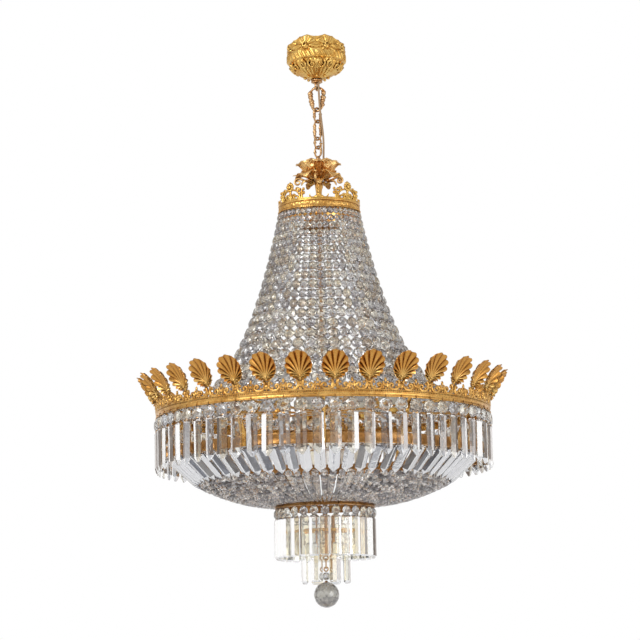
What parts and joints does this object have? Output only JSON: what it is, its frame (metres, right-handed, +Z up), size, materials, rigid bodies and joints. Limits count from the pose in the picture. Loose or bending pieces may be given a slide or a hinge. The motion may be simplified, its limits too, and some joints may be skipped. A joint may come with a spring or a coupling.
{
  "type": "crystal basket chandelier",
  "caption": "Ceiling chandelier with a gilt palmette ring, a tent and basket of crystal beads, hanging prisms in tiers, a ball drop, and a short chain under a cast canopy.",
  "frame": {"origin": "centre of the ceiling strap's upper face, on the hanging axis", "axes": "+Z up along the hanging axis, into the ceiling; -Y towards the viewer of the picture"},
  "size_m": [0.8294, 0.8294, 1.2982],
  "materials": {
    "gilt_brass": "cast and fire gilt, bright with darker recesses",
    "antique_brass": "cast, antique gold",
    "crystal": "cut and polished lead crystal",
    "zinc_steel": "zinc plated",
    "terminal_plastic": "moulded",
    "flex_sheath": "brown-gold sheath",
    "bulb_glass": "clear bulb",
    "candle_sleeve": "ivory sleeve"
  },
  "bodies": {
    "ceiling_mount": {"ceiling_bracket": "zinc_steel", "threaded_nipple": "zinc_steel", "nipple_nuts": "zinc_steel", "terminal_block": "terminal_plastic", "ceiling_canopy": "gilt_brass", "canopy_collar": "antique_brass"},
    "shackle": {"bow_shackle": "antique_brass"},
    "link_1": {"chain_link_1": "antique_brass"},
    "link_2": {"chain_link_2": "antique_brass"},
    "link_3": {"chain_link_3": "antique_brass"},
    "chandelier": {"supply_flex": "flex_sheath", "hanging_loop": "antique_brass", "finial_cup": "antique_brass", "finial_leaves": "antique_brass", "finial_tendrils": "antique_brass", "finial_scrolls": "antique_brass", "finial_vase": "gilt_brass", "crown_arms": "gilt_brass", "top_ring": "gilt_brass", "top_gallery": "gilt_brass", "crown_dish": "gilt_brass", "tent_beads": "crystal", "main_ring": "gilt_brass", "ring_frieze": "gilt_brass", "palmettes": "gilt_brass", "spider_hub": "gilt_brass", "spider_arms": "gilt_brass", "lamp_cups": "gilt_brass", "lamp_holders": "candle_sleeve", "candle_bulbs": "bulb_glass", "skirt_octagons": "crystal", "skirt_prisms": "crystal", "hoop_straps": "gilt_brass", "lower_hoop": "gilt_brass", "basket_bars": "crystal", "basket_beads": "crystal", "bottom_ring": "antique_brass", "bottom_spokes": "gilt_brass", "bottom_beads": "crystal", "bottom_prisms": "crystal", "inner_ring": "gilt_brass", "inner_beads": "crystal", "centre_stem": "gilt_brass", "stem_nuts": "zinc_steel", "stem_eye": "antique_brass"},
    "hook": {"ball_hook": "antique_brass"},
    "ball": {"ball_loop": "antique_brass", "ball_neck_bead": "crystal", "ball_cap": "gilt_brass", "crystal_ball": "crystal"},
    "inner_prism_1": {"inner_prism_1": "crystal"},
    "inner_prism_2": {"inner_prism_2": "crystal"},
    "inner_prism_3": {"inner_prism_3": "crystal"},
    "inner_prism_4": {"inner_prism_4": "crystal"},
    "inner_prism_5": {"inner_prism_5": "crystal"},
    "inner_prism_6": {"inner_prism_6": "crystal"},
    "inner_prism_7": {"inner_prism_7": "crystal"},
    "inner_prism_8": {"inner_prism_8": "crystal"}
  },
  "joints": [
    {"name": "shackle_swing", "type": "hinge", "parent": "ceiling_mount", "child": "shackle", "pos_m": [0, 0, -0.1165], "axis": [0.342, 0.9397, 0], "range_deg": [-15, 15], "deforming": ["supply_flex"]},
    {"name": "link_1_swing", "type": "hinge", "parent": "shackle", "child": "link_1", "pos_m": [0, 0, -0.1652], "axis": [0.9397, -0.342, 0], "range_deg": [-15, 15], "deforming": ["supply_flex"]},
    {"name": "link_2_swing", "type": "hinge", "parent": "link_1", "child": "link_2", "pos_m": [0, 0, -0.19305], "axis": [0.7071, 0.7071, 0], "range_deg": [-15, 15], "deforming": ["supply_flex"]},
    {"name": "link_3_swing", "type": "hinge", "parent": "link_2", "child": "link_3", "pos_m": [0, 0, -0.23295], "axis": [0.7071, -0.7071, 0], "range_deg": [-15, 15], "deforming": ["supply_flex"]},
    {"name": "chandelier_swing", "type": "hinge", "parent": "link_3", "child": "chandelier", "pos_m": [0, 0, -0.25395], "axis": [0.7071, 0.7071, 0], "range_deg": [-15, 15], "deforming": ["supply_flex"]},
    {"name": "hook_swing", "type": "hinge", "parent": "chandelier", "child": "hook", "pos_m": [0, 0, -1.19305], "axis": [1, 0, 0], "range_deg": [-10, 10]},
    {"name": "ball_swing", "type": "hinge", "parent": "hook", "child": "ball", "pos_m": [0, 0, -1.21175], "axis": [0, 1, 0], "range_deg": [-10, 10]},
    {"name": "inner_prism_1_swing", "type": "hinge", "parent": "chandelier", "child": "inner_prism_1", "pos_m": [0.02009, -0.0485, -1.15615], "axis": [-0.9239, -0.3827, 0], "range_deg": [-10, 20]},
    {"name": "inner_prism_2_swing", "type": "hinge", "parent": "chandelier", "child": "inner_prism_2", "pos_m": [0.0485, -0.02009, -1.15615], "axis": [-0.3827, -0.9239, 0], "range_deg": [-10, 20]},
    {"name": "inner_prism_3_swing", "type": "hinge", "parent": "chandelier", "child": "inner_prism_3", "pos_m": [0.0485, 0.02009, -1.15615], "axis": [0.3827, -0.9239, 0], "range_deg": [-10, 20]},
    {"name": "inner_prism_4_swing", "type": "hinge", "parent": "chandelier", "child": "inner_prism_4", "pos_m": [0.02009, 0.0485, -1.15615], "axis": [0.9239, -0.3827, 0], "range_deg": [-10, 20]},
    {"name": "inner_prism_5_swing", "type": "hinge", "parent": "chandelier", "child": "inner_prism_5", "pos_m": [-0.02009, 0.0485, -1.15615], "axis": [0.9239, 0.3827, 0], "range_deg": [-10, 20]},
    {"name": "inner_prism_6_swing", "type": "hinge", "parent": "chandelier", "child": "inner_prism_6", "pos_m": [-0.0485, 0.02009, -1.15615], "axis": [0.3827, 0.9239, 0], "range_deg": [-10, 20]},
    {"name": "inner_prism_7_swing", "type": "hinge", "parent": "chandelier", "child": "inner_prism_7", "pos_m": [-0.0485, -0.02009, -1.15615], "axis": [-0.3827, 0.9239, 0], "range_deg": [-10, 20]},
    {"name": "inner_prism_8_swing", "type": "hinge", "parent": "chandelier", "child": "inner_prism_8", "pos_m": [-0.02009, -0.0485, -1.15615], "axis": [-0.9239, 0.3827, 0], "range_deg": [-10, 20]}
  ]
}
